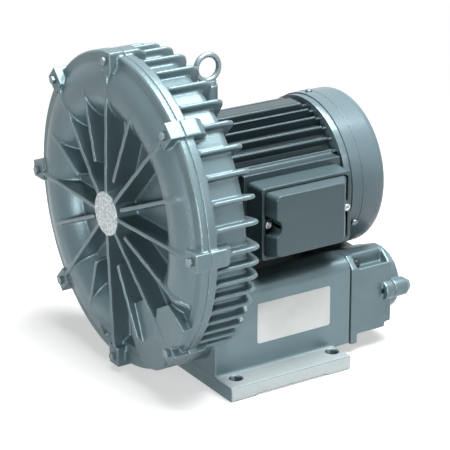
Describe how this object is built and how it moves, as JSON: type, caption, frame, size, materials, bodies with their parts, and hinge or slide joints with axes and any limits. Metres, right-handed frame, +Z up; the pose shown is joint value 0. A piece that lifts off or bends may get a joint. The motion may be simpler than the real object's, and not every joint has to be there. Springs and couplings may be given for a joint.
{
  "type": "side channel blower",
  "caption": "Side channel blower: ribbed cover and finned casing on a silencer base with feet, with a finned fan-cooled motor, terminal box, lifting eye and threaded ports.",
  "frame": {"origin": "on the floor, at the centre of the four foot holes", "axes": "+Z up, +Y from the ribbed cover towards the motor's fan and the ports, +X towards the terminal box"},
  "size_m": [0.35, 0.3223, 0.357],
  "materials": {
    "front_cover": "cast, semi-gloss blue-grey paint",
    "cover_bolts": "zinc plated",
    "rear_casing": "cast, semi-gloss blue-grey paint",
    "silencer_base": "cast, semi-gloss blue-grey paint, feet milled bright",
    "cover_seal": "matt",
    "impeller": "cast and machined",
    "impeller_key": "bright drawn",
    "impeller_washer": "zinc plated",
    "impeller_bolt": "zinc plated",
    "motor_shaft": "ground",
    "rotor_core": "laminated",
    "rotor_end_rings": "cast",
    "front_bearing_outer_ring": "ground",
    "front_bearing_inner_ring": "ground",
    "front_bearing_balls": "polished",
    "rear_bearing_outer_ring": "ground",
    "rear_bearing_inner_ring": "ground",
    "rear_bearing_balls": "polished",
    "shaft_seal": "matt",
    "front_endshield": "cast, semi-gloss blue-grey paint",
    "motor_flange_bolts": "zinc plated",
    "motor_frame": "cast, semi-gloss blue-grey paint",
    "stator_core": "laminated",
    "stator_windings": "varnished copper wire",
    "rear_endshield": "cast, semi-gloss blue-grey paint",
    "frame_screws": "zinc plated",
    "cooling_fan": "moulded",
    "fan_circlip": "blued spring steel",
    "fan_cowl": "semi-gloss paint over sheet steel",
    "cowl_screws": "zinc plated",
    "terminal_box_base": "cast, semi-gloss blue-grey paint",
    "terminal_box_gasket": "matt",
    "terminal_box_cover": "cast, semi-gloss blue-grey paint",
    "terminal_box_screws": "zinc plated",
    "terminal_block": "moulded, with brass studs",
    "eye_bolt": "forged, zinc plated",
    "silencer_foam_inlet": "open-cell foam",
    "silencer_foam_outlet": "open-cell foam",
    "end_gasket": "matt",
    "end_housing": "cast, semi-gloss blue-grey paint",
    "end_housing_bolts": "zinc plated",
    "inlet_flange": "cast, semi-gloss blue-grey paint",
    "outlet_flange": "cast, semi-gloss blue-grey paint",
    "port_flange_bolts": "zinc plated",
    "nameplate": "bare white label, no text"
  },
  "bodies": {
    "housing": {"front_cover": "front_cover", "cover_bolts": "cover_bolts", "rear_casing": "rear_casing", "silencer_base": "silencer_base", "cover_seal": "cover_seal", "front_bearing_outer_ring": "front_bearing_outer_ring", "rear_bearing_outer_ring": "rear_bearing_outer_ring", "shaft_seal": "shaft_seal", "front_endshield": "front_endshield", "motor_flange_bolts": "motor_flange_bolts", "motor_frame": "motor_frame", "stator_core": "stator_core", "stator_windings": "stator_windings", "rear_endshield": "rear_endshield", "frame_screws": "frame_screws", "fan_cowl": "fan_cowl", "cowl_screws": "cowl_screws", "terminal_box_base": "terminal_box_base", "terminal_box_gasket": "terminal_box_gasket", "terminal_box_cover": "terminal_box_cover", "terminal_box_screws": "terminal_box_screws", "terminal_block": "terminal_block", "eye_bolt": "eye_bolt", "silencer_foam_inlet": "silencer_foam_inlet", "silencer_foam_outlet": "silencer_foam_outlet", "end_gasket": "end_gasket", "end_housing": "end_housing", "end_housing_bolts": "end_housing_bolts", "inlet_flange": "inlet_flange", "outlet_flange": "outlet_flange", "port_flange_bolts": "port_flange_bolts", "nameplate": "nameplate"},
    "rotor": {"motor_shaft": "motor_shaft", "impeller": "impeller", "impeller_key": "impeller_key", "impeller_washer": "impeller_washer", "impeller_bolt": "impeller_bolt", "rotor_core": "rotor_core", "rotor_end_rings": "rotor_end_rings", "front_bearing_inner_ring": "front_bearing_inner_ring", "front_bearing_balls": "front_bearing_balls", "rear_bearing_inner_ring": "rear_bearing_inner_ring", "rear_bearing_balls": "rear_bearing_balls", "cooling_fan": "cooling_fan", "fan_circlip": "fan_circlip"}
  },
  "joints": [
    {"name": "rotor_spin", "type": "hinge", "parent": "housing", "child": "rotor", "pos_m": [0, 0, 0.182], "axis": [0, 1, 0], "continuous": true}
  ]
}
